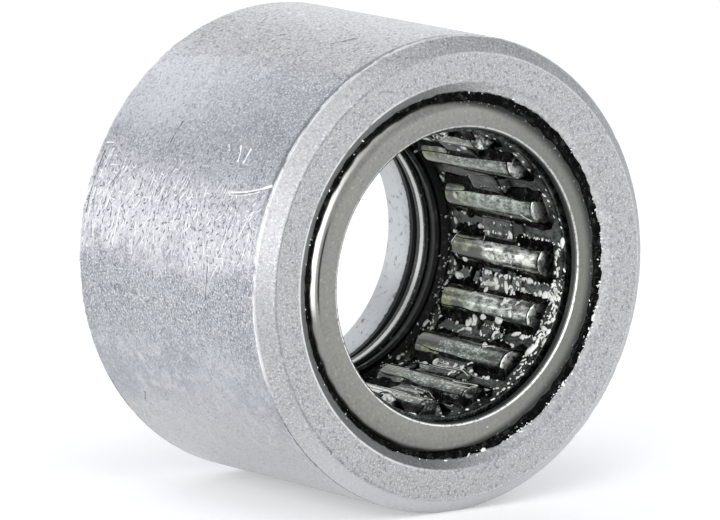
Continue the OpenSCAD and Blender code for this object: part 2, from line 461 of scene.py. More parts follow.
def oily_steel(name, dark, light, roughness, grease_share, olive_share, highlight_share, ripple, coat):
    """Steel under an uneven film of oil, dark in patches and olive at the sealed end.

    Painted shade darkens it towards the top and the bottom of the bearing, and a painted
    highlight lightens it near the open end on the +X side, at mid height.
    """
    s = Shader(name)
    x, depth, z = s.split(s.place)
    drawn = s.stretch(s.place, 1.1, 0.5, 1.1)
    patch = s.noise(0.8, place=s.stretch(s.place, 1.0, 0.6, 1.0))
    film = s.noise(2.6, place=drawn)
    grain = s.noise(8.0, place=drawn)
    dirty = patch + depth.steps(-2.4, 1.6) * 0.1
    grease = dirty.steps(1.0 - grease_share, 1.0 - grease_share + 0.1)
    olive = depth.steps(-2.6, 1.4) * film.steps(0.25, 0.6)
    s.tone = s.mix(film.steps(0.35, 0.7), dark, light)
    s.paint(grain.steps(0.52, 0.7) * 0.8, light)
    s.paint(grain.steps(0.46, 0.34) * 0.6, dark)
    # A painted highlight near the open end on the +X side, at mid height.
    painted_highlight = x.steps(6.2, 7.4) * depth.steps(-0.6, -2.4) * z.steps(2.6, 1.2) * film.steps(0.38, 0.68)
    s.paint(painted_highlight * highlight_share, (1.0, 0.99, 0.96))
    # Painted shade darkens the top and the bottom of the bearing.
    thick = abs(z).steps(3.8, 6.2) * grain.steps(0.62, 0.42)
    s.paint(thick * 0.8, dark)
    s.paint(olive * olive_share, (0.115, 0.12, 0.015))
    s.paint(grease * 0.92, (0.01, 0.012, 0.009))
    height = film + patch * 2.0 + grain * 0.5
    return s.finish(
        Metallic=1.0 - grease * 0.8,
        Roughness=film.between(roughness, roughness + 0.15),
        Normal=s.bump(grain, ripple),
        Coat_Weight=coat,
        Coat_Roughness=0.08,
        Coat_Tint=(0.95, 0.96, 0.88, 1),
        Coat_Normal=s.bump(height, ripple),
    )


def needle_end_material():
    """Ground ends of the needles, cleaner than their sides."""
    s = Shader("needle_end_steel")
    fine = s.noise(7.0)
    film = s.noise(2.4)
    s.tone = s.mix(film.steps(0.38, 0.6), (0.1, 0.105, 0.1), (0.8, 0.81, 0.78))
    s.paint(fine.steps(0.45, 0.3) * 0.8, (0.12, 0.125, 0.12))
    # Painted shade darkens the ends towards the top and the bottom of the bearing.
    end_shade = abs(s.split(s.place)[2]).steps(6.0, 7.8)
    s.paint(end_shade * film.steps(0.7, 0.4), (0.03, 0.033, 0.03))
    return s.finish(
        Metallic=1.0,
        Roughness=fine.between(0.25, 0.4),
        Normal=s.bump(fine, 0.012 * MM),
        Coat_Weight=end_shade.between(0.5, 0.1),
        Coat_Roughness=0.1,
    )


def seal_material():
    """Black rubber with a film of oil."""
    s = Shader("seal_rubber")
    fine = s.noise(9.0)
    film = s.noise(1.6)
    s.tone = s.mix(fine, (0.003, 0.003, 0.003), (0.012, 0.012, 0.011))
    return s.finish(
        Roughness=film.between(0.4, 0.7),
        Specular_IOR_Level=0.25,
        Normal=s.bump(fine, 0.006 * MM),
        Coat_Weight=film.steps(0.52, 0.64) * 0.4,
        Coat_Roughness=0.15,
    )


def dark_grease_material():
    """Grease gone black with use, with lighter grit in it."""
    s = Shader("dark_grease")
    film = s.noise(2.0)
    grit = s.noise(5.0, 2.0, 0.7).steps(0.62, 0.72)
    s.tone = s.mix(film.steps(0.45, 0.7), (0.002, 0.002, 0.002), (0.008, 0.009, 0.007))
    s.paint(grit * 0.5, (0.2, 0.2, 0.18))
    return s.finish(
        Roughness=film.between(0.16, 0.4),
        Specular_IOR_Level=film.steps(0.55, 0.7).between(0.02, 0.2),
        Normal=s.bump(film + grit * 0.5, 0.015 * MM),
    )


def mark_material(name, tone, metallic):
    """Torn steel or packed grime of a single scratch."""
    s = Shader(name)
    fine = s.noise(9.0)
    darker = tuple(0.6 * value for value in tone)
    s.tone = s.mix(fine.steps(0.35, 0.6), darker, tone)
    return s.finish(
        Metallic=metallic,
        Roughness=fine.between(0.3, 0.55),
        Normal=s.bump(fine, 0.01 * MM),
    )


def grease_with_painted_glints_material():
    """Fresh grease in beads and strings, its near-white tone partly a painted highlight for its
    glints.
    """
    s = Shader("pale_grease")
    film = s.noise(1.4, 2.0, 0.6)
    s.tone = s.mix(film.steps(0.3, 0.55), (0.55, 0.56, 0.45), (1.0, 1.0, 0.97))
    return s.finish(
        Roughness=film.between(0.08, 0.25),
        Normal=s.bump(s.noise(5.0, 2.0, 0.5), 0.01 * MM),
        Coat_Weight=1.0,
        Coat_Roughness=0.04,
    )


def floor_material():
    """Matt white sheet of a light table, which glows a little."""
    s = Shader("studio_floor")
    paper = s.noise(900.0, place=s.own)
    s.tone = s.mix(paper, (0.83, 0.83, 0.83), (0.86, 0.86, 0.86))
    return s.finish(
        Roughness=0.9,
        Normal=s.bump(paper, 0.02 * MM),
        Emission_Color=s.tone,
        Emission_Strength=0.3,
    )


# ---- Turned shapes ----


def rounded_outline(corners, closed):
    """Points and materials along an outline of (radius, y, fillet, material) corners.

    A corner's material belongs to the stretch that starts there.
    """
    count = len(corners)
    points = []
    for i, (r, y, fillet, material) in enumerate(corners):
        here = Vector((r, y))
        if not closed and i in (0, count - 1):
            points.append((here, material))
            continue
        before = Vector(corners[i - 1][:2])
        after = Vector(corners[(i + 1) % count][:2])
        back, ahead = (before - here).normalized(), (after - here).normalized()
        half = back.angle(ahead) / 2
        reach = fillet / math.tan(half)
        centre = here + (back + ahead).normalized() * (fillet / math.sin(half))
        start, end = here + back * reach - centre, here + ahead * reach - centre
        sweep = start.angle(end)
        steps = max(2, math.ceil(sweep / math.radians(12)))
        for k in range(steps + 1):
            share = k / steps
            a, b = math.sin((1 - share) * sweep), math.sin(share * sweep)
            spot = centre + (start * a + end * b) / math.sin(sweep)
            points.append((spot, material if share >= 0.5 else corners[i - 1][3]))
    return points


def subdivided(points, closed, longest):
    """The same outline with no stretch longer than longest."""
    result = []
    count = len(points)
    for i in range(count if closed else count - 1):
        (a, material), (b, _) = points[i], points[(i + 1) % count]
        pieces = max(1, math.ceil((b - a).length / longest))
        for k in range(pieces):
            result.append((a.lerp(b, k / pieces), material))
    if not closed:
        result.append(points[-1])
    return result


def turned(name, corners, materials, segments, closed=True, longest=1.0, dents=None):
    """A mesh turned round the Y axis from its outline, with UVs in millimetres.

    The seam faces down. dents(points) returns the points moved by handling.
    """
    outline = subdivided(rounded_outline(corners, closed), closed, longest)
    rows = len(outline)
    stretches = rows if closed else rows - 1
    lengths = [0.0]
    for i in range(stretches):
        lengths.append(lengths[-1] + (outline[(i + 1) % rows][0] - outline[i][0]).length)
    outer = max(point.x for point, _ in outline)
    angles = -math.pi / 2 + np.arange(segments) * 2 * math.pi / segments
    radius = np.array([point.x for point, _ in outline])
    depth = np.array([point.y for point, _ in outline])
    place = np.empty((segments, rows, 3))
    place[:, :, 0] = np.cos(angles)[:, None] * radius
    place[:, :, 1] = depth
    place[:, :, 2] = np.sin(angles)[:, None] * radius
    if dents:
        place = dents(place)
    faces, uvs, slots = [], [], []
    for i in range(segments):
        u0, u1 = (angle * outer / MM for angle in (angles[i], angles[i] + 2 * math.pi / segments))
        near, far = i * rows, (i + 1) % segments * rows
        for j in range(stretches):
            k = (j + 1) % rows
            v0, v1 = lengths[j] / MM, lengths[j + 1] / MM
            faces.append((near + j, near + k, far + k, far + j))
            uvs += [(u0, v0), (u0, v1), (u1, v1), (u1, v0)]
            slots.append(outline[j][1])
    mesh = bpy.data.meshes.new(name)
    mesh.from_pydata(place.reshape(-1, 3).tolist(), [], faces)
    layer = mesh.uv_layers.new(name="unrolled")
    layer.data.foreach_set("uv", np.array(uvs, np.float32).ravel())
    mesh.polygons.foreach_set("material_index", slots)
    return finished(name, mesh, materials)


def around(angle, radius, y):
    """A point at an angle above +X round the bearing's axis."""
    return Vector((math.cos(angle) * radius, y, math.sin(angle) * radius))


def tube_faces(rings, loop, first=0, closed=False):
    """Faces that join rings of points, numbered from first; loop is a ring's outline.

    A closed tube runs back to its first ring, and an open one has an end face at both ends.
    """
    faces, step = [], len(loop)
    for i in range(rings if closed else rings - 1):
        here, there = first + i * step, first + (i + 1) % rings * step
        for a, b in zip(loop, loop[1:] + loop[:1]):
            faces.append((here + a, here + b, there + b, there + a))
    if not closed:
        faces.append([first + k for k in loop])
        faces.append([first + (rings - 1) * step + k for k in reversed(loop)])
    return faces


def piece_of(name, points, faces, material):
    """An object of one material from lists of points and faces."""
    mesh = bpy.data.meshes.new(name)
    mesh.from_pydata(points, [], faces)
    return finished(name, mesh, [material])


def finished(name, mesh, materials):
    """Merges doubled points, turns all faces outwards, shades smooth and makes the object."""
    work = bmesh.new()
    work.from_mesh(mesh)
    bmesh.ops.remove_doubles(work, verts=work.verts, dist=1e-7)
    bmesh.ops.dissolve_degenerate(work, edges=work.edges, dist=1e-8)
    bmesh.ops.recalc_face_normals(work, faces=work.faces)
    if work.calc_volume(signed=True) < 0:
        bmesh.ops.reverse_faces(work, faces=work.faces)
    work.to_mesh(mesh)
    work.free()
    for material in materials:
        mesh.materials.append(material)
    mesh.polygons.foreach_set("use_smooth", [True] * len(mesh.polygons))
    piece = bpy.data.objects.new(name, mesh)
    bpy.context.scene.collection.objects.link(piece)
    return piece


def sleeve_dents(place):
    """Shallow handling dents on the outside and along the chamfers' ridges."""
    random = np.random.default_rng(11)
    flat = place.reshape(-1, 3)
    out = np.hypot(flat[:, 0], flat[:, 2])
    moved = flat.copy()
    for _ in range(90):
        angle = random.uniform(-math.pi, math.pi)
        if random.random() < 0.6:
            side = 1 if random.random() < 0.3 else -1
            y = side * (SEALED_FACE - SLEEVE_CHAMFER) + random.normal(0, 0.08 * MM)
        else:
            y = random.uniform(OPEN_FACE, SEALED_FACE) * 0.9
        spot = np.array([math.cos(angle) * SLEEVE_R, y, math.sin(angle) * SLEEVE_R])
        size = random.uniform(0.12, 0.3) * MM
        deep = random.uniform(0.01, 0.035) * MM
        far = np.linalg.norm(flat - spot, axis=1) / size
        push = deep * np.exp(-far * far)
        moved[:, 0] -= push * flat[:, 0] / out
        moved[:, 2] -= push * flat[:, 2] / out
    return moved.reshape(place.shape)


def make_sleeve(outside, face):
    chamfer, ridge = SLEEVE_CHAMFER, 0.09 * MM
    corners = [
        (CUP_R, OPEN_FACE + ENTRY_CHAMFER_DEPTH, 0.08 * MM, 1),
        (CUP_R + ENTRY_CHAMFER_W, OPEN_FACE, 0.06 * MM, 1),
        (SLEEVE_R - chamfer, OPEN_FACE, ridge, 1),
        (SLEEVE_R, OPEN_FACE + chamfer, ridge, 0),
        (SLEEVE_R, SEALED_FACE - chamfer, ridge, 1),
        (SLEEVE_R - chamfer, SEALED_FACE, ridge, 1),
        (SHOULDER_R + SHOULDER_CHAMFER, SEALED_FACE, 0.06 * MM, 1),
        (SHOULDER_R, SEALED_FACE - SHOULDER_CHAMFER, 0.08 * MM, 1),
        (SHOULDER_R, OPEN_FACE + SEAT_DEPTH + SMALL_CHAMFER, 0.03 * MM, 1),
        (SHOULDER_R + SMALL_CHAMFER, OPEN_FACE + SEAT_DEPTH, 0.03 * MM, 1),
        (CUP_R, OPEN_FACE + SEAT_DEPTH, 0.05 * MM, 1),
    ]
    steels = [outside, face]
    return turned("sleeve_body", corners, steels, 512, longest=0.25 * MM, dents=sleeve_dents)


def make_cup(steel):
    front, back = CUP_LOW.y, CUP_HIGH.y
    inner_front, inner_back = front + LIP_T, SEAL_HIGH.y
    tiny = 0.03 * MM
    corners = [
        (LIP_R + SMALL_CHAMFER, front, tiny, 0),
        (CUP_R, front, CUP_CORNER, 0),
        (CUP_R, back, CUP_CORNER, 0),
        (FLANGE_R + SMALL_CHAMFER, back, tiny, 0),
        (FLANGE_R, back - SMALL_CHAMFER, tiny, 0),
        (FLANGE_R, inner_back + SMALL_CHAMFER, tiny, 0),
        (FLANGE_R + SMALL_CHAMFER, inner_back, tiny, 0),
        (RACEWAY_R, inner_back, CUP_INNER_CORNER, 0),
        (RACEWAY_R, inner_front, CUP_INNER_CORNER, 0),
        (LIP_R + SMALL_CHAMFER, inner_front, tiny, 0),
        (LIP_R, inner_front - SMALL_CHAMFER, tiny, 0),
        (LIP_R, front + SMALL_CHAMFER, tiny, 0),
    ]
    return turned("cup_shell", corners, [steel], 384, longest=0.5 * MM)


def make_seal(rubber):
    front, back = SEAL_LOW.y, SEAL_HIGH.y
    heel = FLANGE_R + 0.25 * MM
    web = (RACEWAY_R + heel) / 2
    soft = 0.04 * MM
    corners = [
        (RACEWAY_R, front, soft, 0),
        (web, front, soft, 0),
        (web - SEAL_GROOVE, front + SEAL_GROOVE, 0.08 * MM, 0),
        (SEAL_R + SEAL_LIP_T, front, soft, 0),
        (SEAL_R, front + SEAL_LIP_T / 2, 0.03 * MM, 0),
        (SEAL_R, front + SEAL_LIP_T, 0.03 * MM, 0),
        (heel, back, soft, 0),
        (RACEWAY_R, back, soft, 0),
    ]
    return turned("lip_seal", corners, [rubber], 256, longest=0.4 * MM)


def make_needle(node, steel, end_steel):
    """One needle, turned round its own axis and then put where the frame has it."""
    low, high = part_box(node)
    centre = (low + high) / 2
    corners = [
        (0.0, low.y, 0.0, 1),
        (NEEDLE_R, low.y, NEEDLE_EDGE, 0),
        (NEEDLE_R, high.y, NEEDLE_EDGE, 1),
        (0.0, high.y, 0.0, 1),
    ]
    name = node.replace("_roller", "")
    piece = turned(name, corners, [steel, end_steel], 64, False, 0.5 * MM)
    piece.data.transform(Matrix.Translation((centre.x, 0, centre.z)))
    return piece


# ---- Cage ----


def ramp(value, start, end):
    """0 before start, 1 beyond end and smooth between."""
    share = min(1.0, max(0.0, (value - start) / (end - start)))
    return share * share * (3 - 2 * share)


def cage_radius(y, share):
    """Radius of the bars from their inner side (0) to their outer side (1)."""
    outside = abs(y - CAGE_MIDDLE) - WAIST_LENGTH / 2
    dip = 1 - ramp(outside, 0, WAIST_SLOPE)
    inner = RING_R + (WAIST_R - RING_R) * dip
    outer = CAGE_R + (WAIST_R + WAIST_T - CAGE_R) * dip
    return inner + (outer - inner) * share


def pocket_half_width(y, radius):
    """Half width of the pocket round a needle."""
    away = abs(y - CAGE_MIDDLE) - WAIST_LENGTH / 2 - WAIST_SLOPE / 2
    slot = POCKET_MOUTH + (POCKET_HALF_W - POCKET_MOUTH) * ramp(away, -0.1 * MM, 0.1 * MM)
    across = (NEEDLE_R + POCKET_GAP) ** 2 - (radius - PITCH_R) ** 2
    return max(slot, math.sqrt(max(across, 0)))


def make_cage(steel):
    """Two end rings and the bars between the needles, built as one grid wrapped round the axis.

    Each sector holds one bar and one pocket. A level runs from the inner surface (0) to the
    outer surface (levels).
    """
    bar_columns, pocket_columns, levels = 6, 10, 7

    def spread(low, high, count):
        return [low + (high - low) * k / count for k in range(count + 1)]

    waist = (-WAIST_LENGTH / 2 - WAIST_SLOPE, -WAIST_LENGTH / 2)
    waist += (WAIST_LENGTH / 2, WAIST_LENGTH / 2 + WAIST_SLOPE)
    edges = [POCKET_FRONT, *(CAGE_MIDDLE + edge for edge in waist), POCKET_BACK]
    ring_rows, slot_rows = spread(CAGE_LOW.y, POCKET_FRONT, 4)[:-1], []
    for low, high in zip(edges, edges[1:]):
        slot_rows += spread(low, high, 8)[:-1]
    rows = ring_rows + slot_rows + spread(POCKET_BACK, CAGE_HIGH.y, 4)
    first_slot = len(ring_rows)
    last_slot = first_slot + len(slot_rows)
    columns = bar_columns + pocket_columns
    total = columns * len(NEEDLE_ANGLES)

    def angle_at(column, y, level):
        """The angle of a grid line; lines 0 to bar_columns cross the bar, the rest the pocket."""
        which, local = divmod(column, columns)
        radius = cage_radius(y, level / levels)
        y_slot = min(max(y, POCKET_FRONT), POCKET_BACK)
        bar_half = SECTOR / 2 - math.asin(pocket_half_width(y_slot, radius) / radius)
        centre = NEEDLE_ANGLES[0] + SECTOR * (which + 0.5)
        if local <= bar_columns:
            return centre - bar_half + 2 * bar_half * local / bar_columns
        share = (local - bar_columns) / pocket_columns
        return centre + bar_half + (SECTOR - 2 * bar_half) * share

    index, points = {}, []

    def point(row, column, level):
        key = (row, column % total, level)
        if key not in index:
            angle = angle_at(column % total, rows[row], level)
            index[key] = len(points)
            points.append(around(angle, cage_radius(rows[row], level / levels), rows[row]))
        return index[key]

    faces = []

    def quad(corner, one, two):
        """A face from a grid point, one step along each of two ways."""
        faces.append([
            point(*(at + a * i + b * j for at, i, j in zip(corner, one, two)))
            for a, b in ((0, 0), (1, 0), (1, 1), (0, 1))
        ])

    next_row, next_column, next_level = (1, 0, 0), (0, 1, 0), (0, 0, 1)
    last = len(rows) - 1
    for column in range(total):
        on_bar = column % columns < bar_columns
        for row in range(last):
            if on_bar or not first_slot <= row < last_slot:
                quad((row, column, 0), next_row, next_column)
                quad((row, column, levels), next_row, next_column)
        for level in range(levels):
            for row in [0, last] if on_bar else [0, first_slot, last_slot, last]:
                quad((row, column, level), next_column, next_level)
            if column % columns in (0, bar_columns):
                for row in range(first_slot, last_slot):
                    quad((row, column, level), next_row, next_level)
    piece = piece_of("cage_body", points, faces, steel)
    bevel = piece.modifiers.new("worn_edges", "BEVEL")
    bevel.width = 0.05 * MM
    bevel.segments = 2
    bevel.limit_method = "ANGLE"
    bevel.angle_limit = math.radians(40)
    return piece


# ---- Grease ----


def waves(random, count, highest):
    """A smooth repeating curve round the axis, roughly -1 to 1, as a function of angle."""
    parts = [
        (random.integers(1, highest), random.uniform(0, 2 * math.pi), random.uniform(0.4, 1))
        for _ in range(count)
    ]
    total = math.sqrt(sum(size * size for _, _, size in parts))
    return lambda angle: sum(
        size * math.sin(rate * angle + phase) for rate, phase, size in parts
    ) / total


def groove_floor(r):
    """How far along Y the steel of the cup's corner and the seat's chamfer starts."""
    if r <= CUP_R:
        reach = max(0.0, r - (CUP_R - CUP_CORNER))
        drop = CUP_CORNER - math.sqrt(max(CUP_CORNER**2 - reach**2, 0))
        return CUP_LOW.y + min(drop, ENTRY_CHAMFER_DEPTH)
    share = min(1.0, (r - CUP_R) / ENTRY_CHAMFER_W)
    return OPEN_FACE + ENTRY_CHAMFER_DEPTH * (1 - share)


def groove_outer(angle):
    """Outer radius of the groove's grease, which is thinner on the +X side."""
    return CUP_R + (0.15 - 0.11 * math.cos(angle)) * MM


def two_layers(columns):
    """Outline of a ring of points made of two layers, each running the same way."""
    return [*range(columns + 1), *range(2 * columns + 1, columns, -1)]


def make_groove_grease_and_shade(material):
    """A dark ring of grease that fills the groove between the cup's corner and the seat's chamfer.

    It stands in partly for the groove's shade, and reaches further over the cup on the +X side.
    """
    random = np.random.default_rng(5)
    segments, columns = 420, 14
    inner_wave, outer_wave = waves(random, 16, 60), waves(random, 26, 140)
    level_wave = waves(random, 12, 50)
    points = []
    for i in range(segments):
        angle = -math.pi / 2 + 2 * math.pi * i / segments
        side = ramp(math.cos(angle), -0.6, 0.9)
        inner = CUP_R - (0.06 + 0.62 * side + (0.02 + 0.04 * side) * inner_wave(angle)) * MM
        outer = groove_outer(angle) + 0.035 * MM * outer_wave(angle)
        level = OPEN_FACE + (0.3 + 0.05 * level_wave(angle)) * MM
        for layer in (0, 1):
            for k in range(columns + 1):
                r = inner + (outer - inner) * k / columns
                film = 0.045 * MM * math.sin(math.pi * k / columns) ** 0.5
                y = min(groove_floor(r) - film, max(level, OPEN_FACE + 0.05 * MM))
                points.append(around(angle, r, y if layer == 0 else groove_floor(r) + 0.06 * MM))
    faces = tube_faces(segments, two_layers(columns), closed=True)
    return piece_of("groove_grease", points, faces, material)


def make_pocket_grease_and_shade(material):
    """Black grease that bridges the needles and the bars, and stands in partly for their flanks'
    shade.
    """
    random = np.random.default_rng(17)
    rows, columns = 70, 6
    points, faces = [], []
    for needle_angle in NEEDLE_ANGLES:
        for side in (-1, 1):
            wave = waves(random, 6, 11)
            faces += tube_faces(rows + 1, two_layers(columns), len(points))
            for row in range(rows + 1):
                share = row / rows
                y = POCKET_FRONT + (POCKET_BACK - POCKET_FRONT) * share
                bars = cage_radius(y, 0)
                near = (0.72 - 0.26 * share**2 + 0.05 * wave(2 * share)) * MM
                uneven = 0.15 + 0.08 * wave(3 * share + 1) + 0.05 * wave(6 * share)
                far = pocket_half_width(y, bars) + uneven * MM
                start = PITCH_R - math.sqrt(NEEDLE_R**2 - near**2) - 0.012 * MM
                end = math.sqrt(bars**2 - far**2) - 0.012 * MM
                for layer in (0, 1):
                    for k in range(columns + 1):
                        part = k / columns
                        across = (near + (far - near) * part) * side
                        sag = 0.07 * MM * math.sin(math.pi * part)
                        r = start + (end - start) * part + sag + layer * 0.09 * MM
                        turn = needle_angle + math.atan2(across, r)
                        points.append(around(turn, math.hypot(r, across), y))
    return piece_of("pocket_grease", points, faces, material)


class Lumps:
    """Collects small grease shapes into one mesh."""

    def __init__(self, seed):
        self.random = np.random.default_rng(seed)
        self.points, self.faces, self.count = [], [], 0
        ball = bmesh.new()
        bmesh.ops.create_icosphere(ball, subdivisions=2, radius=1.0)
        self.ball = np.array([vertex.co[:] for vertex in ball.verts])
        self.ball_faces = [[vertex.index for vertex in face.verts] for face in ball.faces]
        ball.free()

    def take(self, points, faces):
        self.faces += [[self.count + k for k in face] for face in faces]
        self.points.append(np.asarray(points))
        self.count += len(points)

    def bead(self, place, normal, size):
        """A small uneven lump, flattened against the surface it sits on."""
        random = self.random
        turn = np.array(normal.to_track_quat("Z", "Y").to_matrix())
        stretch = np.array((random.uniform(0.7, 2.2), random.uniform(0.6, 1.2), 0.6)) * size
        phase = random.uniform(0, 6, 2)
        ripple = np.sin(3 * self.ball[:, 0] + phase[0]) * np.sin(3 * self.ball[:, 1] + phase[1])
        shape = self.ball * stretch * (1 + 0.18 * ripple)[:, None]
        spin = random.uniform(0, 2 * math.pi)
        cos, sin = math.cos(spin), math.sin(spin)
        shape = shape @ np.array([[cos, sin, 0], [-sin, cos, 0], [0, 0, 1]])
        self.take(shape @ turn.T + np.array(place), self.ball_faces)

    def string(self, path, radius):
        """A thin strand along a path of points, thinner in its middle."""
        sides, points = 7, []
        for i, point in enumerate(path):
            ahead = path[min(i + 1, len(path) - 1)] - path[max(i - 1, 0)]
            turn = ahead.normalized().to_track_quat("Z", "Y").to_matrix()
            share = i / (len(path) - 1)
            thick = radius * (0.5 + 0.5 * (2 * share - 1) ** 2)
            for k in range(sides):
                angle = 2 * math.pi * k / sides
                offset = Vector((math.cos(angle) * thick, math.sin(angle) * thick, 0))
                points.append(point + turn @ offset)
        self.take(points, tube_faces(len(path), list(range(sides))))

    def make(self, name, material):
        return piece_of(name, np.concatenate(self.points).tolist(), self.faces, material)


def on_cage(angle, y, lift=0.0):
    """A point on the needle or the cage that faces the shaft there, and the way to the shaft."""
    away = math.remainder(angle - NEEDLE_ANGLES[0], SECTOR) * PITCH_R
    radius = cage_radius(y, 0)
    if abs(away) < NEEDLE_R and POCKET_FRONT < y < POCKET_BACK:
        radius = min(radius, PITCH_R - math.sqrt(NEEDLE_R**2 - away**2))
    return around(angle, radius - lift, y), around(angle, -1, 0)


def grease_share(angle):
    """How much grease there is: most on the +X side a little below mid height."""
    away = math.remainder(angle - HEAVY_ANGLE, 2 * math.pi)
    return 0.08 + 0.92 * math.exp(-((away / math.radians(24)) ** 2))


def make_cage_grease(material):
    """Beads along the pockets' edges and both rings, and strands over the bars and needles."""
    lumps = Lumps(23)
    random = lumps.random
    waist_front = CAGE_MIDDLE - WAIST_LENGTH / 2

    def size():
        return (0.026 + random.gamma(2.0, 0.025)) * MM

    for _ in range(2600):
        angle = random.choice(NEEDLE_ANGLES)
        side = random.choice((-1, 1))
        y = random.uniform(POCKET_FRONT - 0.2 * MM, POCKET_BACK)
        reach = (POCKET_HALF_W + random.normal(0.08, 0.07) * MM) / cage_radius(y, 0)
        edge = angle + side * math.asin(reach)
        if random.random() < grease_share(angle):
            lumps.bead(*on_cage(edge, y), size())
    for front, back, count in (
        (CAGE_LOW.y, POCKET_FRONT, 1300),
        (POCKET_BACK, CAGE_HIGH.y, 700),
        (waist_front - 0.5 * MM, waist_front, 420),
    ):
        for _ in range(count):
            angle = random.uniform(-math.pi, math.pi)
            if random.random() < grease_share(angle):
                lumps.bead(*on_cage(angle, random.uniform(front, back)), size())
    for _ in range(26):
        angle = HEAVY_ANGLE + random.normal(0, 0.3)
        y = random.uniform(POCKET_FRONT, POCKET_BACK)
        lumps.bead(*on_cage(angle, y), random.uniform(0.12, 0.26) * MM)
    for _ in range(12):
        angle = HEAVY_ANGLE + random.normal(0, 0.35)
        y = random.uniform(POCKET_FRONT, POCKET_BACK)
        lay_strand(lumps, angle, y, random.normal(0, 0.08), random.normal(0, 0.5) * MM, 0.07 * MM)
    for angle in NEEDLE_ANGLES:
        if math.remainder(angle + math.radians(80), 2 * math.pi) ** 2 > 0.3:
            continue
        for _ in range(16):
            line = angle + random.choice((0, 0.5)) * SECTOR + random.normal(0, 0.03)
            y = random.uniform(POCKET_FRONT, 0.5 * MM)
            along = random.uniform(1.5, 4.5) * MM
            lay_strand(lumps, line, y, random.normal(0, 0.006), along, 0.03 * MM)
    return lumps.make("cage_grease", material)


def make_dark_lumps(material):
    """Black grease pushed up over the needles and bars towards the sealed end."""
    lumps = Lumps(37)
    random = lumps.random
    for _ in range(260):
        y = POCKET_BACK - random.exponential(1.6) * MM
        angle = random.choice(NEEDLE_ANGLES) + random.choice((-1, 1)) * random.normal(0.15, 0.02)
        if random.random() < grease_share(angle - 0.1):
            lumps.bead(*on_cage(angle, y, -0.06 * MM), random.uniform(0.15, 0.4) * MM)
    return lumps.make("dark_lumps", material)


def lay_strand(lumps, angle, y, across, along, radius):
    """A slightly wavy strand just clear of the bars and needles."""
    random = lumps.random
    wave, sway = random.uniform(0, 6), random.normal(0, 0.008)
    path = []
    for k in range(14):
        share = k / 13
        depth = min(max(y + along * share, CAGE_LOW.y), CAGE_HIGH.y)
        turn = angle + across * share + sway * math.sin(4 * share + wave)
        path.append(on_cage(turn, depth, 0.01 * MM)[0])
    lumps.string(path, radius * random.uniform(0.7, 1.2))


def make_sleeve_marks(name, material, marks):
    """Burrs or grime along single scratches on the outside.

    Each mark is (angle from +X, y, direction, length, half width, bow), in degrees and
    millimetres. A direction of 0 runs round the sleeve.
    """
    lumps = Lumps(41)
    for angle, y, direction, length, width, bow in marks:
        cos, sin = math.cos(math.radians(direction)), math.sin(math.radians(direction))
        path = []
        for k in range(12):
            share = k / 11 - 0.5
            along, across = share * length, bow * (1 - 4 * share * share)
            turn = math.radians(angle) + (along * cos - across * sin) * MM / SLEEVE_R
            depth = (y + along * sin + across * cos) * MM
            path.append(around(turn, SLEEVE_R, depth))
        lumps.string(path, width * MM)
    return lumps.make(name, material)


def make_housing_specks(material):
    """Specks thrown onto the seal's front side and left along the groove round the cup."""
    lumps = Lumps(31)
    random = lumps.random
    for _ in range(420):
        angle = random.uniform(-math.pi, math.pi)
        radius = random.uniform(SEAL_R + SEAL_LIP_T, RACEWAY_R)
        if random.random() < 0.25 + 0.75 * grease_share(angle):
            place = around(angle, radius, SEAL_LOW.y)
            lumps.bead(place, OUTWARDS, (0.02 + random.gamma(2.0, 0.018)) * MM)
    for _ in range(800):
        angle = random.uniform(-math.pi, math.pi)
        kept = 0.06 + 0.94 * ramp(math.cos(angle + math.radians(25)), 0.3, 1.0)
        if random.random() > kept:
            continue
        inward = random.exponential(0.25) if random.random() < 0.15 else random.normal(0, 0.07)
        radius = groove_outer(angle) - inward * MM
        place = around(angle, radius, min(groove_floor(radius), OPEN_FACE + 0.3 * MM))
        lumps.bead(place, OUTWARDS, (0.016 + random.gamma(2.0, 0.011)) * MM)
    return lumps.make("housing_specks", material)


# ---- Build ----


def settle(piece, body, node=None):
    """Puts a piece on its body, in place of a node if one is named."""
    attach(piece, body)
    if node:
        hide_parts(node)


sleeve = make_sleeve(sleeve_outside_material(), sleeve_face_material())
settle(sleeve, "housing", "outer_sleeve")
settle(make_cup(cup_material()), "housing", "drawn_cup")
settle(make_seal(seal_material()), "housing", "shaft_seal")

needle_steel = oily_steel(
    "needle_steel", dark=(0.06, 0.073, 0.07), light=(0.46, 0.5, 0.475), roughness=0.15,
    grease_share=0.45, olive_share=0.95, highlight_share=0.9, ripple=0.008 * MM, coat=0.7,
)
needle_end_steel = needle_end_material()
for node in NEEDLES:
    settle(make_needle(node, needle_steel, needle_end_steel), node, node)

cage_steel = oily_steel(
    "cage_steel", dark=(0.006, 0.008, 0.008), light=(0.13, 0.153, 0.142), roughness=0.3,
    grease_share=0.44, olive_share=0.1, highlight_share=0.0, ripple=0.02 * MM, coat=0.3,
)
settle(make_cage(cage_steel), "cage_set", "cage")

dark_grease = dark_grease_material()
settle(make_groove_grease_and_shade(dark_grease), "housing")
settle(make_pocket_grease_and_shade(dark_grease), "cage_set")
settle(make_dark_lumps(dark_grease), "cage_set")

pale_grease = grease_with_painted_glints_material()
settle(make_cage_grease(pale_grease), "cage_set")

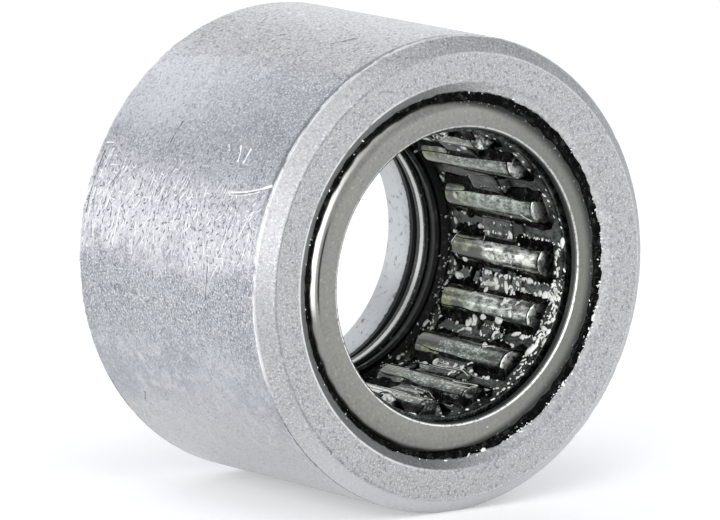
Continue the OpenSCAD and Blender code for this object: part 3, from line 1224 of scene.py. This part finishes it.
burrs = make_sleeve_marks("sleeve_burrs", mark_material("torn_steel", (1, 1, 1), 0.1), [
    (155.0, -6.6, 77, 4.0, 0.1, -0.16),
    (156.3, -6.2, 79, 2.8, 0.035, -0.15),
    (147.4, -5.1, 4, 1.0, 0.07, 0.0),
    (147.2, -4.3, 158, 1.1, 0.075, 0.06),
    (146.2, -3.1, 140, 0.5, 0.06, 0.0),
    (151.0, 8.0, 82, 0.7, 0.06, 0.0),
    (172.5, -5.2, 85, 0.6, 0.055, 0.0),
    (168.0, 7.2, 12, 3.0, 0.035, 0.1),
    (163.0, 7.9, 8, 3.6, 0.035, 0.1),
])
settle(burrs, "housing")
grime = make_sleeve_marks("sleeve_grime", mark_material("grime", (0.12, 0.12, 0.13), 0.0), [
    (106.5, -3.7, 35, 1.5, 0.022, 0.0),
    (105.6, -4.1, 35, 0.9, 0.02, 0.0),
    (155.6, -6.3, 78, 3.0, 0.03, -0.18),
    (179.0, -4.1, 5, 2.0, 0.03, 0.0),
    (145.0, 2.4, 4, 1.5, 0.03, 0.0),
    (215.0, 5.7, 40, 0.9, 0.035, 0.0),
    (109.0, 1.5, 60, 0.4, 0.03, 0.0),
    (161.0, 8.3, 3, 3.8, 0.035, 0.0),
])
settle(grime, "housing")
settle(make_housing_specks(pale_grease), "housing")


# ---- Stage ----


def make_floor():
    """A wide pale sheet under the bearing."""
    work = bmesh.new()
    bmesh.ops.create_grid(work, x_segments=8, y_segments=8, size=3.0)
    mesh = bpy.data.meshes.new("studio_floor")
    work.to_mesh(mesh)
    work.free()
    floor = bpy.data.objects.new("studio_floor", mesh)
    floor.location.z = SLEEVE_LOW.z
    mesh.materials.append(floor_material())
    bpy.context.scene.collection.objects.link(floor)


def direction(azimuth, elevation):
    """The way from the bearing to a spot, in degrees; azimuth 0 is straight ahead of -Y."""
    a, e = math.radians(azimuth), math.radians(elevation)
    return Vector((math.sin(a) * math.cos(e), -math.cos(a) * math.cos(e), math.sin(e)))


def aim(name, data, place, back):
    """A camera or light at a place, looking against the direction back."""
    thing = bpy.data.objects.new(name, data)
    thing.location = place
    thing.rotation_mode = "QUATERNION"
    thing.rotation_quaternion = back.to_track_quat("Z", "Y")
    bpy.context.scene.collection.objects.link(thing)
    return thing


def softbox(name, azimuth, elevation, distance, width, height, watts):
    """An area light that faces the bearing."""
    back = direction(azimuth, elevation)
    data = bpy.data.lights.new(name, "AREA")
    data.shape = "RECTANGLE"
    data.size, data.size_y = width, height
    data.energy = watts
    aim(name, data, back * distance, back).visible_camera = False


def make_world():
    """White to the camera, and an even, slightly blue grey dome to everything else."""
    world = bpy.data.worlds.new("studio")
    world.use_nodes = True
    tree = world.node_tree
    tree.nodes.clear()
    ray = tree.nodes.new("ShaderNodeLightPath")
    seen, lit = tree.nodes.new("ShaderNodeBackground"), tree.nodes.new("ShaderNodeBackground")
    seen.inputs[0].default_value = (1, 1, 1, 1)
    lit.inputs[0].default_value = (0.93, 0.96, 1.0, 1)
    lit.inputs[1].default_value = 0.76
    both = tree.nodes.new("ShaderNodeMixShader")
    out = tree.nodes.new("ShaderNodeOutputWorld")
    tree.links.new(ray.outputs["Is Camera Ray"], both.inputs[0])
    tree.links.new(lit.outputs[0], both.inputs[1])
    tree.links.new(seen.outputs[0], both.inputs[2])
    tree.links.new(both.outputs[0], out.inputs[0])
    bpy.context.scene.world = world


def make_camera():
    """A long lens on the open end, a little to its left and above."""
    distance, aside, above = 36.716 * SLEEVE_R, -0.0021 * SLEEVE_R, -0.0232 * SLEEVE_R
    back = direction(-36.08, 9.37)
    right = UP.cross(back).normalized()
    data = bpy.data.cameras.new("camera")
    data.sensor_width = 36.0
    data.lens = 436.9
    data.clip_start, data.clip_end = 0.01, 20.0
    place = back * distance + right * aside + back.cross(right) * above
    bpy.context.scene.camera = aim("camera", data, place, back)


make_floor()
make_world()
make_camera()
softbox("key", -56, 20, 0.5, 0.26, 0.26, 0.63)
softbox("front_top", -27, 56, 0.5, 0.25, 0.25, 0.42)
softbox("far_left", -143, 8, 0.5, 0.3, 0.1, 0.1)
softbox("far_top", 142, 20, 0.5, 0.25, 0.25, 0.17)
softbox("high_left", -178, 38, 0.5, 0.25, 0.25, 0.11)
softbox("left_low", -105, 10, 0.5, 0.4, 0.15, 0.25)
softbox("right_front", 36, 3, 0.6, 0.4, 0.3, 0.38)
softbox("bore_fill", -50, 8, 0.5, 0.15, 0.15, 0.2)
bpy.context.scene.view_settings.view_transform = "Standard"
